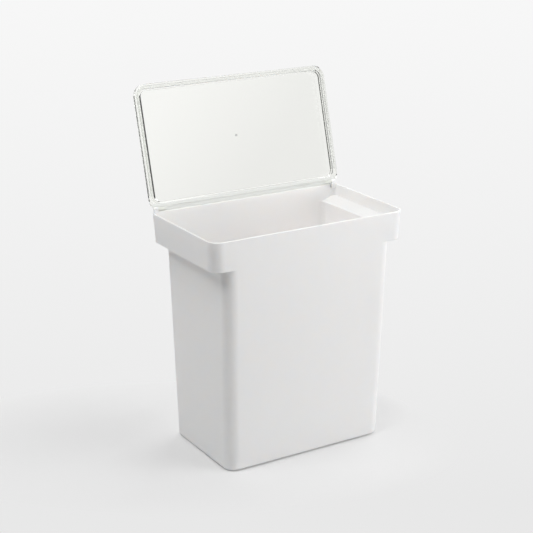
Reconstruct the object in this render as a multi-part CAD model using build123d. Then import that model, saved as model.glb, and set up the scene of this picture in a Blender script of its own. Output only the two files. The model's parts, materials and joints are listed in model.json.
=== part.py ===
from build123d import *
import os

# Free-standing lidded bin: a white moulded tub with side grips and a clear, raised lid on two hinge pins.
# Millimetres, +X right, +Y to the back, +Z up. The origin is on the floor, under the middle of the rim.
# The lid is drawn closed and then swung open, which is how the part rests.

# Tub: outside
RIM_WIDTH = 320.0
RIM_DEPTH = 183.0
RIM_HEIGHT = 350.0
SKIRT_HEIGHT = 42.8
SKIRT_FLARE = 2.5
GRIP_REACH = 19.6
SIDE_DRAFT = 6.0
FRONT_DRAFT = 10.0
BACK_DRAFT = 13.5
SKIRT_FRONT_CORNER = 18.0
BODY_FRONT_CORNER = 17.6
BACK_CORNER = 12.0
BASE_EDGE = 4.0
RIM_EDGE = 0.9

# Tub: walls and inside ledges
WALL = 2.8
BASE_THICKNESS = 3.2
LEDGE_DROP_OUTER = 17.0
LEDGE_DROP_INNER = 25.0
LEDGE_THICKNESS = 3.0

# Standing ring and pads under the base
RING_HEIGHT = 1.5
RING_WIDTH = 5.0
RING_INSET = 5.0
FOOT_RADIUS = 6.5
FOOT_SEAT_DEPTH = 1.0
FOOT_INSET = 26.0

# Hinge
BARREL_RADIUS = 3.4
HINGE_GAP = 0.4
REAR_MARGIN = 0.3
EAR_THICKNESS = 6.5
EAR_INSET = 3.3
EAR_DEPTH = 6.0
PIN_RADIUS = 1.25
PIN_CLEARANCE = 0.05
PIN_RECESS = 0.6
PIN_END_GAP = 1.0
BUSH_WALL = 0.7
BUSH_LENGTH = 12.0
OPEN_ANGLE = 105.5
STOP_GAP = 0.2
STOP_LENGTH = 24.0
STOP_SPACING = 200.0
STOP_LEAD = 0.8

# Lid: brim, edge lip, raised panel and the wall that carries it
LID_OVERHANG = 1.2
LID_CORNER = 18.0
LID_PLATE = 2.5
LID_RISE = 4.0
LID_EDGE = 0.8
LIP_THICKNESS = 2.4
PANEL_WALL = 2.4
PANEL_RISE = 8.0
PANEL_EDGE = 1.6
HOLLOW_EDGE = 0.8
RIB_LIFT = 0.6
GATE_RADIUS = 1.6
GATE_DEPTH = 0.6
GATE_NUB_RADIUS = 0.7

# Gasket
GASKET_WIDTH = 4.0
GASKET_FIT = 0.1
GASKET_LIFT = 0.3
GASKET_EDGE = 1.2

# Heights, insets and the hinge axis that follow from the sizes above
BASE_Z = RING_HEIGHT
SKIRT_Z = RIM_HEIGHT - SKIRT_HEIGHT
LEDGE_OUTER_Z = RIM_HEIGHT - LEDGE_DROP_OUTER
LEDGE_INNER_Z = RIM_HEIGHT - LEDGE_DROP_INNER
RIM_ROUND = min(RIM_EDGE, WALL / 3)
REAR_INSET = RIM_ROUND + REAR_MARGIN
HINGE_Y = RIM_DEPTH / 2 - REAR_INSET - BARREL_RADIUS
HINGE_Z = RIM_HEIGHT + HINGE_GAP + BARREL_RADIUS
HINGE_AXIS = Axis((0, HINGE_Y, HINGE_Z), (1, 0, 0))
EAR_OUT = RIM_WIDTH / 2 - EAR_INSET
EAR_IN = EAR_OUT - EAR_THICKNESS
BARREL_HALF = EAR_IN - HINGE_GAP
BUSH_END = BARREL_HALF - BUSH_LENGTH
BUSH_BORE = PIN_RADIUS + PIN_CLEARANCE
LIP_Z = RIM_HEIGHT + HINGE_GAP
LID_UNDER = RIM_HEIGHT + LID_RISE
LID_TOP = LID_UNDER + LID_PLATE
PANEL_UNDER = LID_UNDER + PANEL_RISE
PANEL_TOP = PANEL_UNDER + LID_PLATE
GASKET_INSET = LIP_THICKNESS + GASKET_FIT
GASKET_REAR = HINGE_Y - BARREL_RADIUS - HINGE_GAP - GASKET_FIT
PANEL_INSET = GASKET_INSET + GASKET_WIDTH + GASKET_FIT
PANEL_REAR = GASKET_REAR - GASKET_WIDTH - GASKET_FIT
OVERCUT = 1.0
CUT_REACH = RIM_WIDTH + RIM_DEPTH + RIM_HEIGHT


def front_y(z):
    """The drafted front face: in at the base, out at the rim."""
    return -RIM_DEPTH / 2 + FRONT_DRAFT * (RIM_HEIGHT - z) / (RIM_HEIGHT - BASE_Z)


def back_y(z):
    """The drafted back face."""
    return RIM_DEPTH / 2 - BACK_DRAFT * (RIM_HEIGHT - z) / (RIM_HEIGHT - BASE_Z)


def skirt_x(z):
    """Half width of the skirt, which flares out towards the rim."""
    return RIM_WIDTH / 2 - SKIRT_FLARE * (RIM_HEIGHT - z) / SKIRT_HEIGHT


def body_x(z):
    """Half width of the body, which stands in from the skirt by the depth of the grip."""
    return skirt_x(SKIRT_Z) - GRIP_REACH - SIDE_DRAFT * (SKIRT_Z - z) / (SKIRT_Z - BASE_Z)


def ledge_under(x):
    """Height of the sloping ledge's underside at a given half width."""
    inner_x = body_x(LEDGE_INNER_Z) - WALL
    outer_x = skirt_x(LEDGE_OUTER_Z) - WALL
    slope = (LEDGE_OUTER_Z - LEDGE_INNER_Z) / (outer_x - inner_x)
    return LEDGE_INNER_Z - LEDGE_THICKNESS + slope * (x - inner_x)


def across(points):
    """Solid of an X-Z outline carried through the whole depth."""
    return extrude(Plane.XZ * Polygon(*points, align=None), CUT_REACH, both=True)


def between_faces(z_low, z_high, inset):
    """Slab between the drafted front and back faces, each moved in by the inset."""
    points = [
        (front_y(z_low) + inset, z_low),
        (back_y(z_low) - inset, z_low),
        (back_y(z_high) - inset, z_high),
        (front_y(z_high) + inset, z_high),
    ]
    return extrude(Plane.YZ * Polygon(*points, align=None), CUT_REACH, both=True)


def both_sides(points):
    """A right-hand X-Z outline closed with its own mirror image."""
    return points + [(-x, z) for x, z in reversed(points)]


def top_edges(solid):
    return solid.faces().sort_by(Axis.Z)[-1].edges()


def bottom_edges(solid):
    return solid.faces().sort_by(Axis.Z)[0].edges()


def runs_up(edge):
    """True for an edge that rises more than it runs."""
    along = edge @ 1 - edge @ 0
    return abs(along.Z) > Vector(along.X, along.Y, 0).length


def corner_edges(solid, back):
    """The edges that run up the solid's corners, at its back or at its front."""
    upright = solid.edges().filter_by(runs_up)
    return [edge for edge in upright if (edge.center().Y > 0) == back]


def round_corners(solid, front_radius, back_radius):
    solid = fillet(corner_edges(solid, False), front_radius)
    return fillet(corner_edges(solid, True), back_radius)


def body_outside():
    """The tapered body, run up inside the skirt to the ledge."""
    top = LEDGE_OUTER_Z
    outline = both_sides([(body_x(BASE_Z), BASE_Z), (body_x(top), top)])
    solid = across(outline) & between_faces(BASE_Z, top, 0)
    return round_corners(solid, BODY_FRONT_CORNER, BACK_CORNER)


def skirt_outside():
    """The flared band round the mouth, flush with the body at front and back."""
    outline = both_sides([(skirt_x(SKIRT_Z), SKIRT_Z), (skirt_x(RIM_HEIGHT), RIM_HEIGHT)])
    solid = across(outline) & between_faces(SKIRT_Z, RIM_HEIGHT, 0)
    return round_corners(solid, SKIRT_FRONT_CORNER, BACK_CORNER)


def body_inside():
    """The hollow of the body, rounded where the walls meet the floor."""
    low = BASE_Z + BASE_THICKNESS
    high = LEDGE_INNER_Z + OVERCUT
    outline = both_sides([(body_x(low) - WALL, low), (body_x(high) - WALL, high)])
    solid = across(outline) & between_faces(low, high, WALL)
    solid = round_corners(solid, BODY_FRONT_CORNER - WALL, BACK_CORNER - WALL)
    return fillet(bottom_edges(solid), BASE_EDGE)


def mouth_inside():
    """The wide mouth above the sloping side ledges."""
    high = RIM_HEIGHT + OVERCUT
    outline = both_sides(
        [
            (body_x(LEDGE_INNER_Z) - WALL, LEDGE_INNER_Z),
            (skirt_x(LEDGE_OUTER_Z) - WALL, LEDGE_OUTER_Z),
            (skirt_x(high) - WALL, high),
        ]
    )
    solid = across(outline) & between_faces(LEDGE_INNER_Z, high, WALL)
    return round_corners(solid, SKIRT_FRONT_CORNER - WALL, BACK_CORNER - WALL)


def grip_pocket():
    """Finger space under the right-hand ledge, open below, between the skirt and the body."""
    low = SKIRT_Z - OVERCUT
    inner_x = body_x(SKIRT_Z) - BODY_FRONT_CORNER
    outer_x = skirt_x(LEDGE_OUTER_Z) - WALL
    outline = [
        (inner_x, low),
        (skirt_x(low) - WALL, low),
        (outer_x, ledge_under(outer_x)),
        (inner_x, ledge_under(inner_x)),
    ]
    block = across(outline) & between_faces(low, RIM_HEIGHT, WALL)
    for back, radius in ((False, SKIRT_FRONT_CORNER - WALL), (True, BACK_CORNER - WALL)):
        outer_edges = [edge for edge in corner_edges(block, back) if edge.center().X > body_x(SKIRT_Z)]
        block = fillet(outer_edges, radius)
    return block - body_outside()


def base_sketch(inset):
    """The base outline moved in, with its corner radii."""
    half = body_x(BASE_Z) - inset
    low = front_y(BASE_Z) + inset
    high = back_y(BASE_Z) - inset
    outline = Polygon((-half, low), (half, low), (half, high), (-half, high), align=None)
    outline = fillet([v for v in outline.vertices() if v.Y < 0], BODY_FRONT_CORNER - inset)
    return fillet([v for v in outline.vertices() if v.Y > 0], BACK_CORNER - inset)


def standing_ring():
    band = base_sketch(RING_INSET) - base_sketch(RING_INSET + RING_WIDTH)
    return extrude(band, RING_HEIGHT + OVERCUT)


def foot_places():
    x = body_x(BASE_Z) - FOOT_INSET
    front = front_y(BASE_Z) + FOOT_INSET
    back = back_y(BASE_Z) - FOOT_INSET
    return {
        "foot_front_left": (-x, front),
        "foot_front_right": (x, front),
        "foot_rear_left": (-x, back),
        "foot_rear_right": (x, back),
    }


def foot(place):
    """A pad in its socket, flush with the standing ring."""
    height = RING_HEIGHT + FOOT_SEAT_DEPTH
    return Pos(place[0], place[1], height / 2) * Cylinder(FOOT_RADIUS, height)


def crosswise_rod(radius, x_from, x_to):
    """A round bar on the hinge axis."""
    middle = (x_from + x_to) / 2
    return Pos(middle, HINGE_Y, HINGE_Z) * Rot(0, 90, 0) * Cylinder(radius, abs(x_to - x_from))


def block_between(x_range, y_range, z_range):
    ranges = (x_range, y_range, z_range)
    size = [high - low for low, high in ranges]
    middle = [(low + high) / 2 for low, high in ranges]
    return Pos(*middle) * Box(*size)


def rim_block(inset, z_low, z_high):
    """The rim's outline moved in, with its back corners rounded, between two heights."""
    half = RIM_WIDTH / 2 - inset
    back = RIM_DEPTH / 2 - inset
    block = block_between((-half, half), (-back, back), (z_low, z_high))
    return fillet(corner_edges(block, True), BACK_CORNER - inset)


def hinge_ear(side):
    """A round-topped boss in one back corner, trimmed to the rim's outline and bored for the pin."""
    x_range = sorted((side * EAR_IN, side * EAR_OUT))
    low = RIM_HEIGHT - EAR_DEPTH
    web = block_between(x_range, (HINGE_Y - BARREL_RADIUS, HINGE_Y + BARREL_RADIUS), (low, HINGE_Z))
    lug = web + crosswise_rod(BARREL_RADIUS, *x_range)
    lug = lug & rim_block(REAR_INSET, low, HINGE_Z + BARREL_RADIUS)
    return lug - crosswise_rod(PIN_RADIUS, *x_range)


def make_tub():
    """Skirt and body in one moulding, hollowed, with grips, hinge ears and standing ring."""
    skirt = skirt_outside()
    skirt = fillet(top_edges(skirt), RIM_ROUND)
    body = body_outside()
    body = fillet(bottom_edges(body), BASE_EDGE)
    tub = skirt + body - mouth_inside() - body_inside()
    rim = tub.faces().sort_by(Axis.Z)[-1]
    tub = fillet(rim.inner_wires()[0].edges(), RIM_ROUND)
    pocket = grip_pocket()
    tub = tub - pocket - mirror(pocket, about=Plane.YZ)
    tub = tub + hinge_ear(-1) + hinge_ear(1) + standing_ring()
    for place in foot_places().values():
        tub = tub - foot(place)
    return tub


def lid_outline(inset, rear_y):
    """The lid's rounded outline moved in, with its back edge at rear_y."""
    half = RIM_WIDTH / 2 + LID_OVERHANG - inset
    front = -RIM_DEPTH / 2 - LID_OVERHANG + inset
    outline = RectangleRounded(2 * half, rear_y - front, LID_CORNER - inset)
    return Pos(0, (front + rear_y) / 2) * outline


def layer(sketch, z_low, z_high):
    return Pos(0, 0, z_low) * extrude(sketch, z_high - z_low)


def lid_brim():
    """The flat brim and its edge lip, cut away under the barrel and round the hinge ears."""
    rear = HINGE_Y + BARREL_RADIUS
    plate = layer(lid_outline(0, rear), LID_UNDER, LID_TOP)
    plate = fillet(top_edges(plate), LID_EDGE)
    lip_band = lid_outline(0, rear) - lid_outline(LIP_THICKNESS, rear - LIP_THICKNESS)
    brim = plate + layer(lip_band, LIP_Z, LID_UNDER)
    below = RIM_HEIGHT - OVERCUT
    above = LID_TOP + OVERCUT
    brim = brim - block_between((-RIM_WIDTH, RIM_WIDTH), (HINGE_Y, RIM_DEPTH), (below, above))
    brim = brim - block_between((-BARREL_HALF, BARREL_HALF), (GASKET_REAR, RIM_DEPTH), (below, LID_UNDER))
    for side in (-1, 1):
        ear_x = sorted((side * BARREL_HALF, side * RIM_WIDTH))
        ear_y = (HINGE_Y - BARREL_RADIUS - HINGE_GAP, RIM_DEPTH)
        brim = brim - block_between(ear_x, ear_y, (below, above))
    return brim


def raised_panel():
    """The lid's raised middle, whose wall runs down inside the gasket as a rib."""
    solid = layer(lid_outline(PANEL_INSET, PANEL_REAR), RIM_HEIGHT + RIB_LIFT, PANEL_TOP)
    return fillet(top_edges(solid), PANEL_EDGE)


def panel_hollow():
    outline = lid_outline(PANEL_INSET + PANEL_WALL, PANEL_REAR - PANEL_WALL)
    return fillet(top_edges(layer(outline, RIM_HEIGHT - OVERCUT, PANEL_UNDER)), HOLLOW_EDGE)


def gate_mark():
    """The ring-shaped dimple that moulding leaves in the middle of the panel's underside."""
    middle = lid_outline(PANEL_INSET, PANEL_REAR).center()
    ring = Cylinder(GATE_RADIUS, GATE_DEPTH) - Cylinder(GATE_NUB_RADIUS, GATE_DEPTH)
    return Pos(middle.X, middle.Y, PANEL_UNDER + GATE_DEPTH / 2) * ring


def make_lid_closed():
    """Clear moulding: brim and raised panel, with the hinge barrel bored for bushes and pins."""
    lid = lid_brim() + raised_panel() - panel_hollow() - gate_mark()
    lid = lid + crosswise_rod(BARREL_RADIUS, -BARREL_HALF, BARREL_HALF)
    for side in (-1, 1):
        lid = lid - crosswise_rod(BUSH_BORE + BUSH_WALL, side * BUSH_END, side * BARREL_HALF)
        lid = lid - crosswise_rod(BUSH_BORE, side * (BUSH_END - PIN_END_GAP), side * BUSH_END)
    return lid


def swing_open(solid):
    return solid.rotate(HINGE_AXIS, -OPEN_ANGLE)


def make_lid():
    """The lid swung open, with the two stop lugs under its barrel that bear on the back rim."""
    lid = swing_open(make_lid_closed())
    for middle in (-STOP_SPACING / 2, STOP_SPACING / 2):
        lid = lid + block_between(
            (middle - STOP_LENGTH / 2, middle + STOP_LENGTH / 2),
            (HINGE_Y + STOP_LEAD, HINGE_Y + BARREL_RADIUS),
            (RIM_HEIGHT + STOP_GAP, HINGE_Z),
        )
    return lid


def make_gasket():
    """Soft strip in the channel along the front and sides, ended where the lid's rear corners begin."""
    outer = lid_outline(GASKET_INSET, GASKET_REAR)
    inner = lid_outline(GASKET_INSET + GASKET_WIDTH, GASKET_REAR - GASKET_WIDTH)
    strip = layer(outer - inner, RIM_HEIGHT + GASKET_LIFT, LID_UNDER)
    strip = fillet(bottom_edges(strip), GASKET_EDGE)
    end = GASKET_REAR - LID_CORNER + GASKET_INSET
    strip = strip - block_between((-RIM_WIDTH, RIM_WIDTH), (end, RIM_DEPTH), (RIM_HEIGHT, LID_TOP))
    return swing_open(strip)


def make_bush(side):
    """A sleeve pressed into one end of the barrel."""
    ends = (side * BUSH_END, side * BARREL_HALF)
    return crosswise_rod(BUSH_BORE + BUSH_WALL, *ends) - crosswise_rod(BUSH_BORE, *ends)


def make_pin(side):
    """A pin pressed into one ear, running in the bush."""
    return crosswise_rod(PIN_RADIUS, side * BUSH_END, side * (EAR_OUT - PIN_RECESS))


nodes = {
    "tub": make_tub(),
    "lid_panel": make_lid(),
    "lid_gasket": make_gasket(),
    "hinge_bush_left": make_bush(-1),
    "hinge_bush_right": make_bush(1),
    "hinge_pin_left": make_pin(-1),
    "hinge_pin_right": make_pin(1),
}
for foot_name, foot_place in foot_places().items():
    nodes[foot_name] = foot(foot_place)

os.makedirs("parts", exist_ok=True)
for node_name, solid in nodes.items():
    export_step(solid, f"parts/{node_name}.step")
print("hinge axis y, z:", HINGE_Y, HINGE_Z)
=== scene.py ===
"""A white moulded bin with a clear hinged lid: finishes, pale floor, soft light and camera.

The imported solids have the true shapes, so every node stays as it is and gets its finish here.
Lengths are in metres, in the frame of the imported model: X to the right, Y to the back, Z up.
"""

import json
import math

import bpy
import numpy as np
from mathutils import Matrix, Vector

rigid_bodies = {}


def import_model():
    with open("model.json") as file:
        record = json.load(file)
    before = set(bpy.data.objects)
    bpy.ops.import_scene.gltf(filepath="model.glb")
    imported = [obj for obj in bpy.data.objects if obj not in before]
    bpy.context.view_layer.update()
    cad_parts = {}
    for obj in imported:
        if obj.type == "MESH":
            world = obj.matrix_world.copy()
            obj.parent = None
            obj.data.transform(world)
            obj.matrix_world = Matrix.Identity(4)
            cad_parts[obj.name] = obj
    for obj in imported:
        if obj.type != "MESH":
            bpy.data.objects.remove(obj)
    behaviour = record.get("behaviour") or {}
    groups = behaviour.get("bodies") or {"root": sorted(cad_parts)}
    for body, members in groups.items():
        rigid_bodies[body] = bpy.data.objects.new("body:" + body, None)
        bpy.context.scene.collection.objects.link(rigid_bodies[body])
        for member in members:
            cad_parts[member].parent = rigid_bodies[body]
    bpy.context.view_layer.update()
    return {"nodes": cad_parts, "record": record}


for leftover in list(bpy.data.objects):
    bpy.data.objects.remove(leftover)

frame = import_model()

RIGHT = Vector((1.0, 0.0, 0.0))
UPWARD = Vector((0.0, 0.0, 1.0))
WHITE = (1, 1, 1, 1)

# The open lid: its hinge, the ways along it from the hinge and out of it, and its gate mark
LID_HINGE = frame["record"]["behaviour"]["joints"][0]
HINGE = Vector(LID_HINGE["pos_m"])
LID_TURN = math.radians(LID_HINGE["range_deg"][1])
LID_ALONG = Vector((0.0, -math.cos(LID_TURN), math.sin(LID_TURN)))
LID_OUT = Vector((0.0, math.sin(LID_TURN), math.cos(LID_TURN)))
GATE_ALONG, GATE_OUT = 0.0905, 0.0085
GATE_MARK = HINGE + GATE_ALONG * LID_ALONG + GATE_OUT * LID_OUT

# Camera, worked out from the edges of the bin
IMAGE_WIDTH = 533
SENSOR_WIDTH = 36.0
FOCAL_PIXELS = 1364.98
CAMERA_TURN = math.radians(-31.393)
CAMERA_RISE = math.radians(18.325)
CAMERA_DISTANCE = 2.323586
LOOKED_AT = Vector((0.14924, 0.27693, 0.16205))
VIEW_END = 200.0

CAMERA_BACK = Vector((
    math.sin(CAMERA_TURN) * math.cos(CAMERA_RISE),
    -math.cos(CAMERA_TURN) * math.cos(CAMERA_RISE),
    math.sin(CAMERA_RISE),
))
CAMERA_PLACE = LOOKED_AT + CAMERA_BACK * CAMERA_DISTANCE

# The level ways ahead of the camera and to its right
FORWARD = Vector((-math.sin(CAMERA_TURN), math.cos(CAMERA_TURN), 0.0))
SIDEWAYS = Vector((math.cos(CAMERA_TURN), math.sin(CAMERA_TURN), 0.0))


# Node helpers
def empty_tree(owner):
    """The node tree of a new material or world, emptied."""
    owner.use_nodes = True
    owner.node_tree.nodes.clear()
    return owner.node_tree


def add_node(tree, kind, **settings):
    """One node of the given kind, with settings for its own properties."""
    node = tree.nodes.new(kind)
    for name, value in settings.items():
        setattr(node, name, value)
    return node


def feed(tree, socket, value):
    """Links an input to the output of another node, or sets it to a plain value."""
    if isinstance(value, bpy.types.NodeSocket):
        tree.links.new(value, socket)
    else:
        socket.default_value = value


def set_inputs(tree, node, **values):
    """Feeds inputs by name, with an underscore for each space; gives the node."""
    for name, value in values.items():
        feed(tree, node.inputs[name.replace("_", " ")], value)
    return node


def set_in_order(tree, node, *values):
    """Feeds the first inputs of a node in their order; gives the node."""
    for socket, value in zip(node.inputs, values):
        feed(tree, socket, value)
    return node


def number(tree, operation, *values):
    """The result of a Math node for outputs or plain numbers."""
    node = add_node(tree, "ShaderNodeMath", operation=operation)
    return set_in_order(tree, node, *values).outputs["Value"]


def at_least(tree, count, least):
    """1 where a whole count reaches the least one, else 0; the limit lies half a step below."""
    return number(tree, "GREATER_THAN", count, least - 0.5)


def vector(tree, operation, *values):
    """The vector that a Vector Math node gives for outputs or plain vectors."""
    node = add_node(tree, "ShaderNodeVectorMath", operation=operation)
    return set_in_order(tree, node, *values).outputs["Vector"]


def measure(tree, operation, *values):
    """The number that a Vector Math node gives, such as a length, for outputs or plain vectors."""
    node = add_node(tree, "ShaderNodeVectorMath", operation=operation)
    return set_in_order(tree, node, *values).outputs["Value"]


def rescale(tree, value, from_low, from_high, to_low, to_high):
    """A value carried from one range to another and kept within it."""
    node = add_node(tree, "ShaderNodeMapRange", clamp=True)
    set_inputs(tree, node, Value=value, From_Min=from_low, From_Max=from_high)
    set_inputs(tree, node, To_Min=to_low, To_Max=to_high)
    return node.outputs["Result"]


# The places of a Mix node's two values among its inputs, and of their blend among its outputs
BLEND_SLOTS = {"FLOAT": (2, 3, 0), "RGBA": (6, 7, 2)}


def blend(tree, share, low, high, kind="FLOAT"):
    """Goes from low to high, numbers or colours, as the share goes from 0 to 1."""
    mix = add_node(tree, "ShaderNodeMix", data_type=kind)
    low_slot, high_slot, blend_slot = BLEND_SLOTS[kind]
    feed(tree, mix.inputs["Factor"], share)
    feed(tree, mix.inputs[low_slot], low)
    feed(tree, mix.inputs[high_slot], high)
    return mix.outputs[blend_slot]


def plain_shader(tree, kind, **values):
    """The output of a shader node."""
    return set_inputs(tree, add_node(tree, kind), **values).outputs[0]


def choose(tree, share, first, second):
    """The first shader where the share is 0 and the second where it is 1."""
    return set_in_order(tree, add_node(tree, "ShaderNodeMixShader"), share, first, second).outputs[0]


def rays_that_show(tree):
    """1 for the rays of the camera, of reflections and of what is seen through glass, 0 for the rest."""
    path = add_node(tree, "ShaderNodeLightPath").outputs
    seen_or_mirrored = number(tree, "MAXIMUM", path["Is Camera Ray"], path["Is Glossy Ray"])
    return number(tree, "MAXIMUM", seen_or_mirrored, path["Is Transmission Ray"])


# The two patterns of a moulded skin: name, usual size, stretch along Z and detail
SKIN_PATTERNS = (
    ("Grain", 0.0005, 1.0, 2.0),
    ("Flow", 0.08, 0.35, 3.0),
)
PATTERN_ROUGHNESS = 0.55


def moulded_skin_group():
    """Skin of a moulding: a fine even grain and broad, faint flow marks, on object coordinates.

    Grain is noise at the grain's size. Flow is slow noise stretched along Z, the way the melt ran.
    """
    group = bpy.data.node_groups.new("moulded_skin", "ShaderNodeTree")
    for name, usual_size, _, _ in SKIN_PATTERNS:
        size = group.interface.new_socket(name + " Size", in_out="INPUT", socket_type="NodeSocketFloat")
        size.default_value = usual_size
        group.interface.new_socket(name, in_out="OUTPUT", socket_type="NodeSocketFloat")
    given = add_node(group, "NodeGroupInput").outputs
    result = add_node(group, "NodeGroupOutput").inputs
    place = add_node(group, "ShaderNodeTexCoord").outputs["Object"]
    for name, _, stretch, detail in SKIN_PATTERNS:
        squeeze = add_node(group, "ShaderNodeMapping")
        set_inputs(group, squeeze, Vector=place, Scale=(1.0, 1.0, stretch))
        noise = add_node(group, "ShaderNodeTexNoise", noise_dimensions="3D")
        set_inputs(group, noise, Detail=detail, Roughness=PATTERN_ROUGHNESS)
        set_inputs(group, noise, Vector=squeeze.outputs["Vector"],
                   Scale=number(group, "DIVIDE", 1.0, given[name + " Size"]))
        feed(group, result[name], noise.outputs["Fac"])
    return group


MOULDED_SKIN = moulded_skin_group()


def start_material(name):
    """A material with one Principled shader; gives the material, its tree, the shader and the output."""
    material = bpy.data.materials.new(name)
    tree = empty_tree(material)
    shader = add_node(tree, "ShaderNodeBsdfPrincipled")
    output = add_node(tree, "ShaderNodeOutputMaterial")
    set_inputs(tree, output, Surface=shader.outputs["BSDF"])
    return material, tree, shader, output


def dress(tree, shader, colours, roughness, flow_size, grain_size=None, grain_height=None):
    """Colour and roughness that drift with the flow marks, and a bump where the grain has a height."""
    skin = add_node(tree, "ShaderNodeGroup", node_tree=MOULDED_SKIN)
    set_inputs(tree, skin, Flow_Size=flow_size)
    flow = skin.outputs["Flow"]
    set_inputs(tree, shader, Base_Color=blend(tree, flow, *colours, kind="RGBA"),
               Roughness=blend(tree, flow, *roughness))
    if grain_height is None:
        return
    set_inputs(tree, skin, Grain_Size=grain_size)
    bump = add_node(tree, "ShaderNodeBump")
    set_inputs(tree, bump, Strength=1.0, Distance=grain_height, Height=skin.outputs["Grain"])
    set_inputs(tree, shader, Normal=bump.outputs["Normal"])


# Finishes
def satin_white_plastic():
    """White moulded plastic with a satin skin that light enters a little way."""
    material, tree, shader, _ = start_material("satin_white_plastic")
    dress(tree, shader, colours=((0.925, 0.924, 0.922, 1), (0.945, 0.944, 0.942, 1)),
          roughness=(0.4, 0.52), flow_size=0.09, grain_size=0.0007, grain_height=0.00002)
    set_inputs(tree, shader, IOR=1.49, Subsurface_Weight=1.0, Subsurface_Scale=0.002,
               Subsurface_Radius=(1.0, 0.95, 0.9))
    return material


# Light that keeps turning in the clear plastic is let out at this turn
LET_OUT_AT = 5
# What the lid leaves of the light that goes straight through it
LID_SHADE = (0.93, 0.94, 0.93, 1)
# The frosted band along the hinge, whose grey tint is painted shade on top of the real frost, and the
# torn gate mark. The frost is full up to one distance from the middle and ends at another, with the
# distance taken along the marked axes only.
FROST_AND_SHADE_ON_BARREL = {
    "middle": HINGE, "axes": (0, 1, 1), "full": 0.0070, "ends": 0.0092,
    "roughness": 0.35, "colour": (0.79, 0.8, 0.77, 1),
}
FROST_ON_GATE = {
    "middle": GATE_MARK, "axes": (1, 1, 1), "full": 0.0017, "ends": 0.0023,
    "roughness": 0.25, "colour": (0.42, 0.43, 0.42, 1),
}


def nearness(tree, middle, axes, full, ends):
    """1 near a point, or near a line along the axis that is left out, falling to 0 with the distance."""
    place = add_node(tree, "ShaderNodeTexCoord").outputs["Object"]
    offset = vector(tree, "SUBTRACT", place, middle)
    away = measure(tree, "LENGTH", vector(tree, "MULTIPLY", offset, axes))
    return rescale(tree, away, full, ends, 1.0, 0.0)


def frost(tree, shader, middle, axes, full, ends, roughness, colour):
    """Roughens and tints the clear plastic near a point or a line."""
    share = nearness(tree, middle, axes, full, ends)
    for name, frosted, kind in (("Roughness", roughness, "FLOAT"), ("Base Color", colour, "RGBA")):
        clear = shader.inputs[name].links[0].from_socket
        feed(tree, shader.inputs[name], blend(tree, share, clear, frosted, kind))


def clear_lid_plastic():
    """Clear plastic, frosted along the hinge with a grey tint there that is painted shade, which lets the
    lamps through to what is behind it.
    """
    material, tree, shader, output = start_material("clear_lid_plastic")
    dress(tree, shader, colours=((0.98, 0.985, 0.952, 1), (0.988, 0.992, 0.96, 1)),
          roughness=(0.005, 0.02), flow_size=0.12)
    # Frosts the band along the hinge and tints it grey; the grey tint is painted shade
    frost(tree, shader, **FROST_AND_SHADE_ON_BARREL)
    frost(tree, shader, **FROST_ON_GATE)
    set_inputs(tree, shader, IOR=1.49, Transmission_Weight=1.0)
    path = add_node(tree, "ShaderNodeLightPath").outputs
    trapped = at_least(tree, path["Ray Depth"], LET_OUT_AT)
    passes = number(tree, "MAXIMUM", path["Is Shadow Ray"], trapped)
    through = plain_shader(tree, "ShaderNodeBsdfTransparent", Color=LID_SHADE)
    set_inputs(tree, output, Surface=choose(tree, passes, shader.outputs["BSDF"], through))
    return material


def milky_silicone():
    """Soft translucent silicone with a dull skin."""
    material, tree, shader, _ = start_material("milky_silicone")
    dress(tree, shader, colours=((0.975, 0.98, 0.965, 1), (0.985, 0.99, 0.975, 1)),
          roughness=(0.15, 0.22), flow_size=0.03, grain_size=0.0006, grain_height=0.00001)
    set_inputs(tree, shader, IOR=1.41, Transmission_Weight=0.9)
    return material


def plain_acetal():
    """Off-white acetal with a smooth skin."""
    material, tree, shader, _ = start_material("plain_acetal")
    dress(tree, shader, colours=((0.8, 0.8, 0.775, 1), (0.84, 0.84, 0.815, 1)),
          roughness=(0.28, 0.38), flow_size=0.01, grain_size=0.0004, grain_height=0.000005)
    set_inputs(tree, shader, IOR=1.48)
    return material


def ground_steel():
    """Bright ground steel with a fine grain."""
    material, tree, shader, _ = start_material("ground_steel")
    dress(tree, shader, colours=((0.58, 0.58, 0.59, 1), (0.66, 0.66, 0.67, 1)),
          roughness=(0.22, 0.36), flow_size=0.004, grain_size=0.0002, grain_height=0.000003)
    set_inputs(tree, shader, Metallic=1.0)
    return material


def pale_rubber():
    """Pale grey rubber with a dull, slightly grainy skin."""
    material, tree, shader, _ = start_material("pale_rubber")
    dress(tree, shader, colours=((0.68, 0.68, 0.66, 1), (0.75, 0.75, 0.73, 1)),
          roughness=(0.6, 0.75), flow_size=0.006, grain_size=0.0005, grain_height=0.00003)
    set_inputs(tree, shader, IOR=1.5)
    return material


FINISHES = {
    "tub_white": satin_white_plastic(),
    "lid_clear": clear_lid_plastic(),
    "gasket_silicone": milky_silicone(),
    "bush_plastic": plain_acetal(),
    "pin_steel": ground_steel(),
    "foot_rubber": pale_rubber(),
}

for subpart in frame["record"]["subparts"]:
    piece = frame["nodes"][subpart["node"]]
    for slot in piece.material_slots:
        slot.material = FINISHES[subpart["material_slot"]]


# Stage
def stage_material(name):
    """A material with an output alone; gives the material, its tree and the output."""
    material = bpy.data.materials.new(name)
    tree = empty_tree(material)
    return material, tree, add_node(tree, "ShaderNodeOutputMaterial")


def hide_from(made, *rays):
    """Hides an object from some kinds of ray."""
    for ray in rays:
        setattr(made, "visible_" + ray, False)


def put(name, data):
    """A new object of the scene with the given mesh, lamp or lens."""
    made = bpy.data.objects.new(name, data)
    bpy.context.scene.collection.objects.link(made)
    return made


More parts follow.
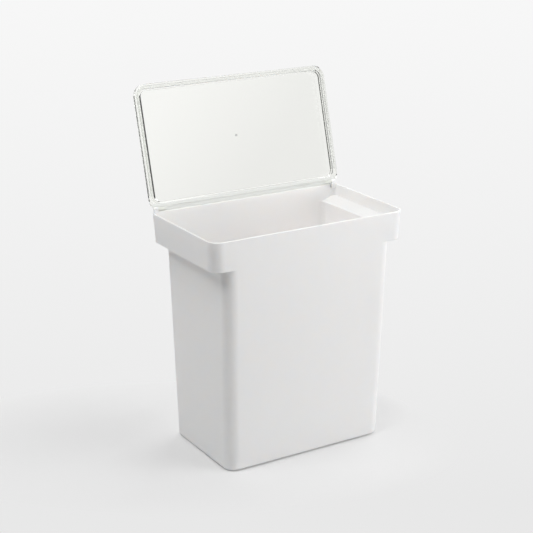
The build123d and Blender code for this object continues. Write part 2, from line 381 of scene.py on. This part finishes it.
def grid_mesh(name, points, material):
    """A mesh from a grid of points, rows by columns by 3, with one four-sided face per cell."""
    rows, columns, _ = points.shape
    index = np.arange(rows * columns).reshape(rows, columns)
    faces = np.stack([index[:-1, :-1], index[1:, :-1], index[1:, 1:], index[:-1, 1:]], -1)
    mesh = bpy.data.meshes.new(name)
    mesh.from_pydata(points.reshape(-1, 3).tolist(), [], faces.reshape(-1, 4).tolist())
    mesh.materials.append(material)
    made = put(name, mesh)
    return made


def flat_sheet(name, corner, width, height, material):
    """A flat sheet, its corner plus shares of two vectors, its width and its height.

    Only light that the object reflects or lets through meets it.
    """
    across, up = np.meshgrid((0.0, 1.0), (0.0, 1.0), indexing="ij")
    points = np.array(corner) + across[..., None] * np.array(width) + up[..., None] * np.array(height)
    hide_from(grid_mesh(name, points, material), "camera", "diffuse", "shadow")


# The floor's tone, far off and near, against the camera's height over the distance along the floor
SLOPE_FAR, SLOPE_NEAR = 0.131, 0.5325
TONE_FAR, TONE_NEAR = 0.930, 0.807
NEAREST_FLOOR = 0.1
# How bright the lamps make a white floor, and the colour that the floor gives back to the bin
FLOOR_LIGHT = 0.91
FLOOR_COLOUR = (0.8, 0.8, 0.8, 1)
FLOOR_REACH = 30.0
FLOOR_RINGS, FLOOR_SPOKES = 24, 65
# The ovals of floor that hold the shadow, beside the bin and right round its foot. In each the glow is
# low, and it rises between two multiples of the half width and half depth.
FLOOR_GLOW = 0.06
SHADE_ZONE = {
    "middle": -0.14 * SIDEWAYS - 0.03 * FORWARD, "turn": CAMERA_TURN,
    "half_width": 0.14, "half_depth": 0.077, "starts": 1.0, "full": 3.0,
}
CONTACT_ZONE = {
    "middle": Vector((0.0, 0.0, 0.0)), "turn": 0.0,
    "half_width": 0.155, "half_depth": 0.1, "starts": 1.0, "full": 1.5,
}


def glow_outside(tree, place, middle, turn, half_width, half_depth, starts, full):
    """The glow's share: low in an oval, rising to all of it at a larger oval round the same middle."""
    oval = add_node(tree, "ShaderNodeMapping", vector_type="TEXTURE")
    set_inputs(tree, oval, Vector=place, Location=middle, Rotation=(0, 0, turn),
               Scale=(half_width, half_depth, 1))
    away = measure(tree, "LENGTH", oval.outputs["Vector"])
    return rescale(tree, away, starts, full, FLOOR_GLOW, 1.0)


def pale_floor():
    """Pale matt floor that brightens with the distance in front of the camera's place.

    The tone follows the camera's height over the distance along the floor, kept between two slopes.
    Most of it glows, so that the far floor stays even, and the matt part holds the bin's shadow.
    """
    material, tree, output = stage_material("pale_floor")
    place = add_node(tree, "ShaderNodeTexCoord").outputs["Object"]
    along = measure(tree, "DOT_PRODUCT", place, FORWARD)
    ahead = number(tree, "SUBTRACT", along, CAMERA_PLACE.dot(FORWARD))
    slope = number(tree, "DIVIDE", CAMERA_PLACE.z, number(tree, "MAXIMUM", ahead, NEAREST_FLOOR))
    tone = rescale(tree, slope, SLOPE_FAR, SLOPE_NEAR, TONE_FAR, TONE_NEAR)
    lit = plain_shader(tree, "ShaderNodeBsdfDiffuse", Color=number(tree, "DIVIDE", tone, FLOOR_LIGHT))
    glow = plain_shader(tree, "ShaderNodeEmission", Color=tone)
    zones = [glow_outside(tree, place, **zone) for zone in (SHADE_ZONE, CONTACT_ZONE)]
    seen = choose(tree, number(tree, "MINIMUM", *zones), lit, glow)
    matt = plain_shader(tree, "ShaderNodeBsdfDiffuse", Color=FLOOR_COLOUR)
    set_inputs(tree, output, Surface=choose(tree, rays_that_show(tree), matt, seen))
    return material


def floor_disc():
    """A flat disc: the radius grows with the square of the ring, the angle goes once round."""
    rings = np.linspace(0.0, 1.0, FLOOR_RINGS)
    spokes = np.linspace(0.0, 2 * np.pi, FLOOR_SPOKES)
    ring, turn = np.meshgrid(rings, spokes, indexing="ij")
    radius = FLOOR_REACH * ring ** 2
    points = np.stack([radius * np.cos(turn), radius * np.sin(turn), np.zeros_like(turn)], -1)
    grid_mesh("floor", points, pale_floor())


# Upright unlit sheets of the room: name, the places of both ends sideways of the bin and ahead of it,
# the heights of both edges, and the fewest turns of the light that meets it
ROOM_SHEETS = (
    ("room_right", (0.8, -0.85), (0.8, 0.08), (0.5, 1.0), 2),
    ("room_right_back", (0.8, 0.08), (0.8, 0.62), (0.3, 0.8), 3),
    ("room_left_back", (-0.72, 0.6), (0.0, 0.6), (0.0, 0.42), 2),
    ("room_back", (0.0, 0.6), (0.9, 0.6), (0.0, 0.55), 3),
)
UNLIT_COLOUR = (0.01, 0.01, 0.01, 1)


def unlit_side(name, least_turns):
    """Unlit part of the room: dark to what turned often enough inside the clear plastic, else absent.

    A turn is a reflection, or the way out of the plastic after it.
    """
    material, tree, output = stage_material(name)
    path = add_node(tree, "ShaderNodeLightPath").outputs
    turns = number(tree, "ADD", path["Glossy Depth"], path["Is Transmission Ray"])
    absent = plain_shader(tree, "ShaderNodeBsdfTransparent")
    dark = plain_shader(tree, "ShaderNodeBsdfDiffuse", Color=UNLIT_COLOUR)
    set_inputs(tree, output, Surface=choose(tree, at_least(tree, turns, least_turns), absent, dark))
    return material


def room_sheet(name, start, end, edges, least_turns):
    """An upright sheet between two places on the floor, from its low edge to its high edge."""
    first, last = (side * SIDEWAYS + ahead * FORWARD for side, ahead in (start, end))
    low, high = edges
    height = (high - low) * UPWARD
    flat_sheet(name, first + low * UPWARD, last - first, height, unlit_side(name, least_turns))


# The graded softbox whose reflection lies over the open lid, square to the mirrored view of the gate
# mark: its glow in the middle, the least and the most of it, and its rise per metre across and up
BOX_DISTANCE = 1.5
BOX_WIDTH, BOX_HEIGHT = 1.2, 0.9
BOX_LEVEL, BOX_LOW, BOX_TOP = 1.126, 0.5, 2.6
BOX_RISE = 5.0
MIRRORED_VIEW = (GATE_MARK - CAMERA_PLACE).normalized().reflect(LID_OUT)
BOX_MIDDLE = GATE_MARK + BOX_DISTANCE * MIRRORED_VIEW
BOX_ACROSS = MIRRORED_VIEW.cross(UPWARD).normalized()
BOX_UP = BOX_ACROSS.cross(MIRRORED_VIEW)
BOX_GRADE = BOX_RISE * (BOX_ACROSS + BOX_UP)


def graded_light():
    """A glow that rises evenly along BOX_GRADE, there only for what the clear plastic reflects."""
    material, tree, output = stage_material("graded_light")
    place = add_node(tree, "ShaderNodeTexCoord").outputs["Object"]
    along = measure(tree, "DOT_PRODUCT", place, BOX_GRADE)
    level = number(tree, "ADD", along, BOX_LEVEL - BOX_MIDDLE.dot(BOX_GRADE))
    kept = number(tree, "MINIMUM", number(tree, "MAXIMUM", level, BOX_LOW), BOX_TOP)
    glow = plain_shader(tree, "ShaderNodeEmission", Strength=kept)
    path = add_node(tree, "ShaderNodeLightPath").outputs
    absent = plain_shader(tree, "ShaderNodeBsdfTransparent")
    set_inputs(tree, output, Surface=choose(tree, at_least(tree, path["Glossy Depth"], 1), absent, glow))
    return material


def graded_box():
    """A flat card round its middle."""
    width, height = BOX_WIDTH * BOX_ACROSS, BOX_HEIGHT * BOX_UP
    flat_sheet("graded_box", BOX_MIDDLE - (width + height) / 2, width, height, graded_light())


floor_disc()
for sheet_values in ROOM_SHEETS:
    room_sheet(*sheet_values)
graded_box()

# Light
WORLD_LIGHT = 0.01
WORLD_SHOWN = 0.93
LAMP_AIM = Vector((0.0, 0.0, 0.25))
NEAR_DISTANCE, NEAR_SIZE = 0.85, 0.4
FAR_DISTANCE, FAR_SIZE = 3.0, 1.8
# Square lamps: name, turn to the right of the front and rise in degrees, distance, size, power in watts
LAMPS = (
    ("near_right", 30, 50, NEAR_DISTANCE, NEAR_SIZE, 1.65),
    ("front_right", 30, 10, FAR_DISTANCE, FAR_SIZE, 22.0),
    ("right", 60, 10, FAR_DISTANCE, FAR_SIZE, 28.0),
    ("right_back", 120, 35, FAR_DISTANCE, FAR_SIZE, 25.0),
    ("back_right", 150, 10, FAR_DISTANCE, FAR_SIZE, 21.5),
    ("back_left", -150, 10, FAR_DISTANCE, FAR_SIZE, 14.0),
    ("left_high", -90, 60, FAR_DISTANCE, FAR_SIZE, 41.0),
    ("left_front_high", -60, 60, FAR_DISTANCE, FAR_SIZE, 8.0),
    ("overhead", 0, 89, FAR_DISTANCE, FAR_SIZE, 6.0),
)
UNMIRRORED = ("near_right", "back_right", "back_left")
# Lamps in the tub, for the light that comes through its walls: a round one, and a flat one facing right
INNER_COLOUR = (1.0, 0.86, 0.81)
ROUND_PLACE = Vector((0.06, 0.02, 0.255))
ROUND_RADIUS, ROUND_POWER = 0.04, 0.034
FLAT_PLACE = Vector((-0.02, 0.0, 0.26))
FLAT_SIZE, FLAT_POWER = 0.06, 0.009
FLAT_SPREAD = math.radians(80.0)


def soft_world():
    """Even light from all round, and a pale backdrop where the camera or the lid looks past the floor."""
    world = bpy.data.worlds.new("soft_world")
    tree = empty_tree(world)
    lit = plain_shader(tree, "ShaderNodeBackground", Strength=WORLD_LIGHT, Color=WHITE)
    seen = plain_shader(tree, "ShaderNodeBackground", Strength=WORLD_SHOWN, Color=WHITE)
    output = add_node(tree, "ShaderNodeOutputWorld")
    set_inputs(tree, output, Surface=choose(tree, rays_that_show(tree), lit, seen))
    bpy.context.scene.world = world


def point_along(made, place, way):
    """Puts a lamp or the camera at a place and points it along a way."""
    made.location = place
    made.rotation_euler = way.to_track_quat("-Z", "Y").to_euler()


def soft_box(name, turn, rise, distance, size, power):
    """A square lamp aimed at the bin from a turn to the right of the front and a rise, in degrees."""
    turn, rise = math.radians(turn), math.radians(rise)
    place = LAMP_AIM + distance * Vector((
        math.sin(turn) * math.cos(rise), -math.cos(turn) * math.cos(rise), math.sin(rise)))
    lamp = bpy.data.lights.new(name, "AREA")
    lamp.shape = "SQUARE"
    lamp.size = size
    lamp.energy = power
    made = put(name, lamp)
    point_along(made, place, LAMP_AIM - place)
    hide_from(made, "camera", "transmission")
    if name in UNMIRRORED:
        hide_from(made, "glossy")


def inner_lamp(name, kind, place, power):
    """A small warm lamp in the tub that faces right; gives the lamp."""
    lamp = bpy.data.lights.new(name, kind)
    lamp.energy = power
    lamp.color = INNER_COLOUR
    made = put(name, lamp)
    point_along(made, place, RIGHT)
    hide_from(made, "camera", "transmission", "glossy")
    return lamp


soft_world()
for lamp_values in LAMPS:
    soft_box(*lamp_values)
round_lamp = inner_lamp("inner_round", "POINT", ROUND_PLACE, ROUND_POWER)
round_lamp.shadow_soft_size = ROUND_RADIUS
flat_lamp = inner_lamp("inner_right", "AREA", FLAT_PLACE, FLAT_POWER)
flat_lamp.size = FLAT_SIZE
flat_lamp.spread = FLAT_SPREAD


# Camera
def photo_camera():
    """The camera at its place, looking down on the bin, with no roll, shift or blur."""
    lens = bpy.data.cameras.new("camera")
    lens.sensor_fit = "HORIZONTAL"
    lens.sensor_width = SENSOR_WIDTH
    lens.lens = FOCAL_PIXELS / IMAGE_WIDTH * SENSOR_WIDTH
    lens.clip_end = VIEW_END
    made = put("camera", lens)
    point_along(made, CAMERA_PLACE, -CAMERA_BACK)
    bpy.context.scene.camera = made


photo_camera()
bpy.context.scene.view_settings.view_transform = "Standard"
